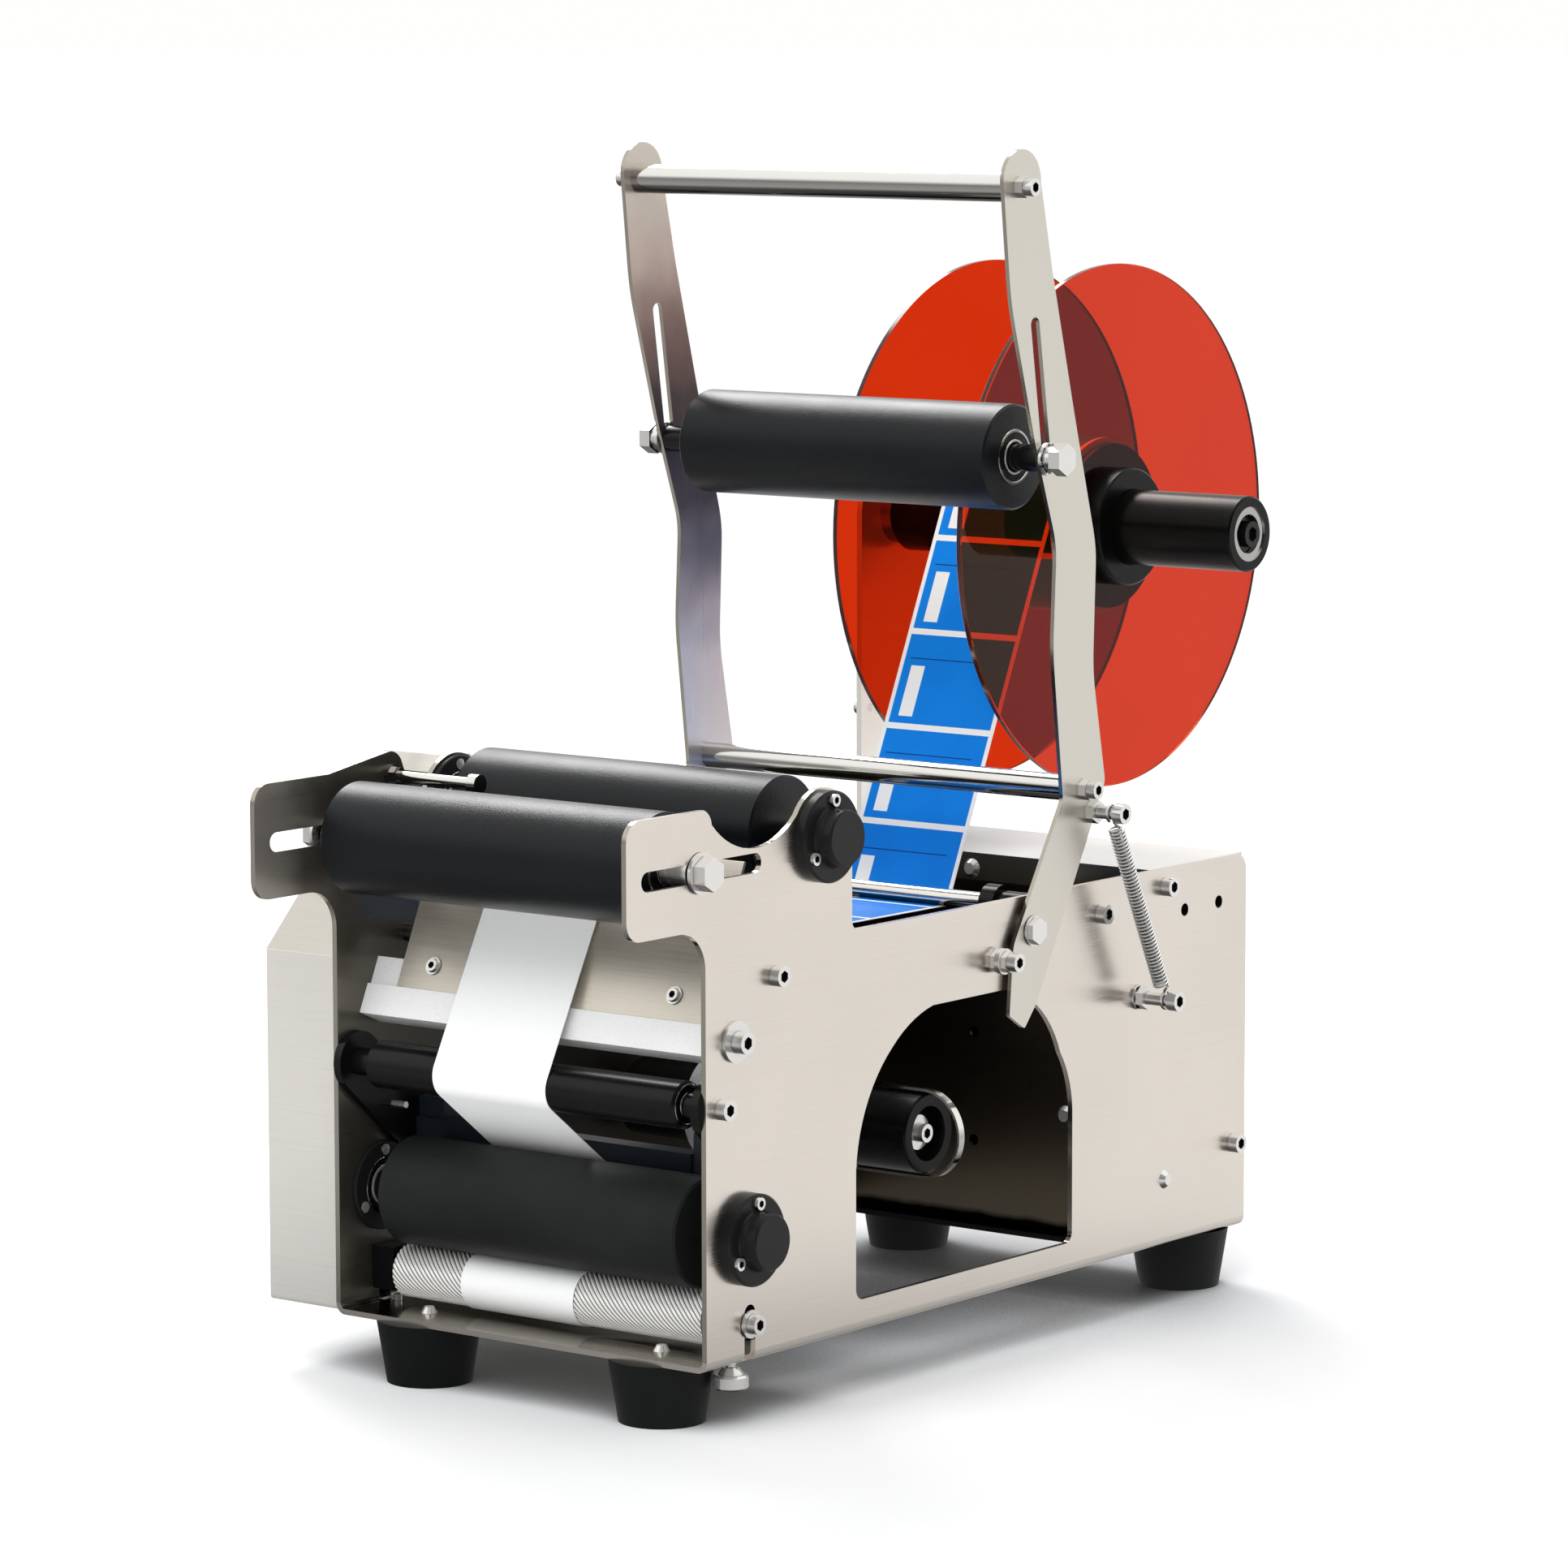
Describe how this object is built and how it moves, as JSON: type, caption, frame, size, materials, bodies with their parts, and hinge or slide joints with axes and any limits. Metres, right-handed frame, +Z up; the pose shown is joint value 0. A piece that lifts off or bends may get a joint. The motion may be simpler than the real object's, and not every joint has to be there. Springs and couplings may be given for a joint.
{
  "type": "bottle labelling machine",
  "caption": "Benchtop labeller for round bottles: steel chassis, rubber rollers, peel plate, hinged pressure arm with springs, translucent label reel.",
  "frame": {"origin": "middle of the four feet, on the surface that the machine stands on", "axes": "+X to the machine's right, where the waste roll comes out; +Y to its back, where the label reel stands; +Z up"},
  "size_m": [0.2762, 0.5968, 0.5419],
  "materials": {
    "brushed_stainless": "brushed",
    "polished_steel": "polished",
    "zinc_fastener": "satin",
    "knurled_steel": "knurled",
    "black_rubber": "matte",
    "black_anodised": "satin",
    "black_plastic": "satin",
    "orange_acrylic": "clear",
    "cast_aluminium": "speckled",
    "white_liner": "paper",
    "label_print": "printed",
    "dark_steel": "satin",
    "spring_steel": "bright"
  },
  "bodies": {
    "frame": {"chassis_frame": "brushed_stainless", "rear_cover": "brushed_stainless", "rear_wall": "dark_steel", "control_box": "brushed_stainless", "control_panel": "black_plastic", "power_inlet": "black_plastic", "drive_motor": "dark_steel", "bearing_cap_upper": "black_plastic", "bearing_cap_lower": "black_plastic", "bearing_housings_left": "black_plastic", "feet_front": "black_rubber", "feet_rear": "black_rubber", "frame_screws": "zinc_fastener", "peel_plate": "brushed_stainless", "peel_support_bar": "cast_aluminium", "guide_brackets": "black_anodised", "guide_cross_bar": "black_anodised", "guide_rods": "polished_steel", "guide_rod_spacer": "black_anodised", "bottle_stop_rod": "polished_steel", "label_web": "label_print", "waste_liner": "white_liner", "reel_bracket": "brushed_stainless", "reel_shaft": "polished_steel", "pivot_pins": "zinc_fastener", "spring_posts": "zinc_fastener"},
    "key_left": {"key_left": "black_plastic"},
    "key_right": {"key_right": "black_plastic"},
    "power_rocker": {"power_rocker": "black_plastic"},
    "rear_roller": {"rear_roller": "black_rubber", "rear_roller_shaft": "polished_steel"},
    "traction_roller": {"traction_roller": "black_rubber", "traction_shaft": "polished_steel"},
    "pinch_carriage": {"pinch_carriage": "black_anodised"},
    "knurled_roller": {"knurled_roller": "knurled_steel"},
    "thumbscrew_left": {"thumbscrew_left": "zinc_fastener"},
    "thumbscrew_right": {"thumbscrew_right": "zinc_fastener"},
    "guide_roller": {"guide_roller": "black_anodised"},
    "rewind_spool": {"rewind_tube": "black_plastic", "rewind_screw": "zinc_fastener", "waste_roll": "white_liner"},
    "rewind_clip": {"rewind_clip": "spring_steel"},
    "reel": {"reel_tube": "black_plastic", "reel_disc_left": "orange_acrylic", "hub_flange_left": "black_plastic", "label_roll": "label_print"},
    "reel_end": {"reel_disc_right": "orange_acrylic", "hub_flange_right": "black_plastic"},
    "front_carriage": {"front_roller_axle": "zinc_fastener"},
    "front_roller": {"front_roller": "black_rubber"},
    "arm": {"arm_left": "brushed_stainless", "arm_right": "brushed_stainless", "arm_rods": "polished_steel", "arm_screws": "zinc_fastener"},
    "pressure_carriage": {"pressure_axle": "zinc_fastener"},
    "pressure_roller": {"pressure_roller": "black_rubber"},
    "spring_left": {"spring_left": "spring_steel"},
    "spring_right": {"spring_right": "spring_steel"},
    "spring_hook_left": {"spring_hook_left": "spring_steel"},
    "spring_hook_right": {"spring_hook_right": "spring_steel"}
  },
  "joints": [
    {"name": "arm_hinge", "type": "hinge", "parent": "frame", "child": "arm", "pos_m": [0, 0.027, 0.1915], "axis": [1, 0, 0], "range_deg": [0, 62], "stiffness_Nm_per_rad": 4, "springref_deg": -28.65},
    {"name": "pressure_slide", "type": "slide", "parent": "arm", "child": "pressure_carriage", "axis": [0, -0.15, 0.9887], "range_m": [0, 0.058]},
    {"name": "pressure_roller_spin", "type": "hinge", "parent": "pressure_carriage", "child": "pressure_roller", "pos_m": [0, 0.0366, 0.4036], "axis": [1, 0, 0], "continuous": true},
    {"name": "front_roller_slide", "type": "slide", "parent": "frame", "child": "front_carriage", "axis": [0, 1, 0], "range_m": [-0.033, 0.02]},
    {"name": "front_roller_spin", "type": "hinge", "parent": "front_carriage", "child": "front_roller", "pos_m": [0, -0.2096, 0.2438], "axis": [1, 0, 0], "continuous": true},
    {"name": "rear_roller_spin", "type": "hinge", "parent": "frame", "child": "rear_roller", "pos_m": [0, -0.1244, 0.2505], "axis": [1, 0, 0], "continuous": true},
    {"name": "traction_roller_spin", "type": "hinge", "parent": "frame", "child": "traction_roller", "pos_m": [0, -0.1778, 0.0824], "axis": [1, 0, 0], "continuous": true},
    {"name": "pinch_slide", "type": "slide", "parent": "frame", "child": "pinch_carriage", "axis": [0, 0, 1], "range_m": [-0.0025, 0], "stiffness_N_per_m": 4000, "springref_m": 0.004, "deforming": ["waste_liner"]},
    {"name": "knurled_roller_spin", "type": "hinge", "parent": "pinch_carriage", "child": "knurled_roller", "pos_m": [0, -0.1762, 0.0452], "axis": [1, 0, 0], "continuous": true},
    {"name": "thumbscrew_left_turn", "type": "hinge", "parent": "frame", "child": "thumbscrew_left", "pos_m": [-0.0945, -0.1762, 0.02], "axis": [0, 0, 1], "continuous": true},
    {"name": "thumbscrew_right_turn", "type": "hinge", "parent": "frame", "child": "thumbscrew_right", "pos_m": [0.0945, -0.1762, 0.02], "axis": [0, 0, 1], "continuous": true},
    {"name": "guide_roller_spin", "type": "hinge", "parent": "frame", "child": "guide_roller", "pos_m": [0, -0.1955, 0.141], "axis": [1, 0, 0], "continuous": true},
    {"name": "rewind_spin", "type": "hinge", "parent": "frame", "child": "rewind_spool", "pos_m": [0, -0.0046, 0.0995], "axis": [1, 0, 0], "continuous": true},
    {"name": "rewind_clip_slide", "type": "slide", "parent": "rewind_spool", "child": "rewind_clip", "axis": [1, 0, 0], "range_m": [0, 0.14]},
    {"name": "reel_spin", "type": "hinge", "parent": "frame", "child": "reel", "pos_m": [0, 0.213, 0.357], "axis": [1, 0, 0], "continuous": true},
    {"name": "reel_end_slide", "type": "slide", "parent": "reel", "child": "reel_end", "axis": [1, 0, 0], "range_m": [0, 0.058]},
    {"name": "key_left_press", "type": "slide", "parent": "frame", "child": "key_left", "axis": [0, 0.7071, -0.7071], "range_m": [0, 0.001], "stiffness_N_per_m": 300, "springref_m": -0.002},
    {"name": "key_right_press", "type": "slide", "parent": "frame", "child": "key_right", "axis": [0, 0.7071, -0.7071], "range_m": [0, 0.001], "stiffness_N_per_m": 300, "springref_m": -0.002},
    {"name": "power_rocker_tilt", "type": "hinge", "parent": "frame", "child": "power_rocker", "pos_m": [-0.0143, 0.204, 0.0877], "axis": [1, 0, 0], "range_deg": [0, 18]},
    {"name": "spring_left_swing", "type": "hinge", "parent": "frame", "child": "spring_left", "pos_m": [0, 0.1165, 0.1494], "axis": [1, 0, 0], "range_deg": [0, 22]},
    {"name": "spring_left_stretch", "type": "slide", "parent": "spring_left", "child": "spring_hook_left", "axis": [0, -0.437, 0.8995], "range_m": [0, 0.052], "deforming": ["spring_left", "spring_hook_left"]},
    {"name": "spring_right_swing", "type": "hinge", "parent": "frame", "child": "spring_right", "pos_m": [0, 0.1165, 0.1494], "axis": [1, 0, 0], "range_deg": [0, 22]},
    {"name": "spring_right_stretch", "type": "slide", "parent": "spring_right", "child": "spring_hook_right", "axis": [0, -0.437, 0.8995], "range_m": [0, 0.052], "deforming": ["spring_right", "spring_hook_right"]}
  ],
  "couplings": [
    {"joint": "traction_roller_spin", "follows": "rear_roller_spin", "ratio": 1.0206},
    {"joint": "knurled_roller_spin", "follows": "rear_roller_spin", "ratio": -2.0667},
    {"joint": "spring_left_swing", "follows": "arm_hinge", "ratio": 0.3377},
    {"joint": "spring_left_stretch", "follows": "arm_hinge", "m_per_rad": 0.04787},
    {"joint": "spring_right_swing", "follows": "arm_hinge", "ratio": 0.3377},
    {"joint": "spring_right_stretch", "follows": "arm_hinge", "m_per_rad": 0.04787}
  ]
}
